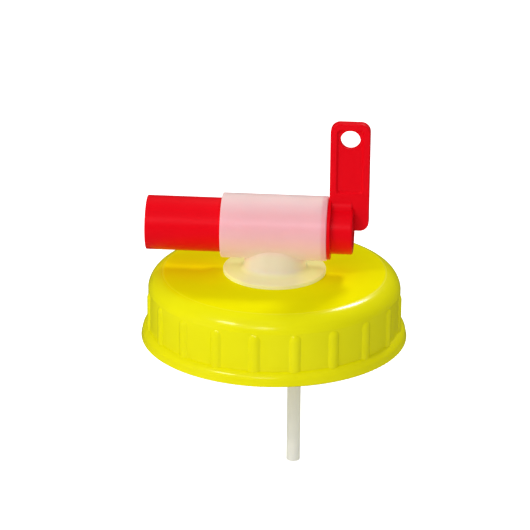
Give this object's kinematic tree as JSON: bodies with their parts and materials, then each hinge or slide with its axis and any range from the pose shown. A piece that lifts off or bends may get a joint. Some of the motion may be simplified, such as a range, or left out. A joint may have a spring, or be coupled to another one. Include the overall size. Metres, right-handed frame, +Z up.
{
  "type": "jerrycan tap",
  "caption": "Vented outlet tap for a jerrycan: red rotor with spout and lever in a clear barrel, set in a yellow ribbed screw cap, with an air tube.",
  "frame": {"origin": "on the cap's axis, in the plane of the cap's rim, which is the mouth of the cap", "axes": "+Z up along the cap's axis, away from the container; +X along the barrel towards the lever; the spout points along -X; the side seen in the picture faces -Y"},
  "size_m": [0.07, 0.07, 0.0959],
  "materials": {
    "cap_plastic": "smooth yellow moulded polyethylene, soft gloss",
    "gasket_foam": "white closed-cell foam wad",
    "seal_rubber": "matt black seal",
    "natural_plastic": "natural, milky translucent moulding, soft gloss",
    "rotor_plastic": "red moulded plastic, soft gloss",
    "tube_plastic": "natural, milky extruded tube"
  },
  "bodies": {
    "cap": {"screw_cap": "cap_plastic", "cap_gasket": "gasket_foam", "body_seal": "seal_rubber"},
    "tap": {"tap_body": "natural_plastic", "air_tube": "tube_plastic"},
    "rotor": {"tap_rotor": "rotor_plastic"}
  },
  "joints": [
    {"name": "swivel", "type": "hinge", "parent": "cap", "child": "tap", "pos_m": [0, 0, 0.018], "axis": [0, 0, 1], "continuous": true},
    {"name": "lever", "type": "hinge", "parent": "tap", "child": "rotor", "pos_m": [0, 0, 0.0303], "axis": [1, 0, 0], "range_deg": [0, 90]}
  ]
}
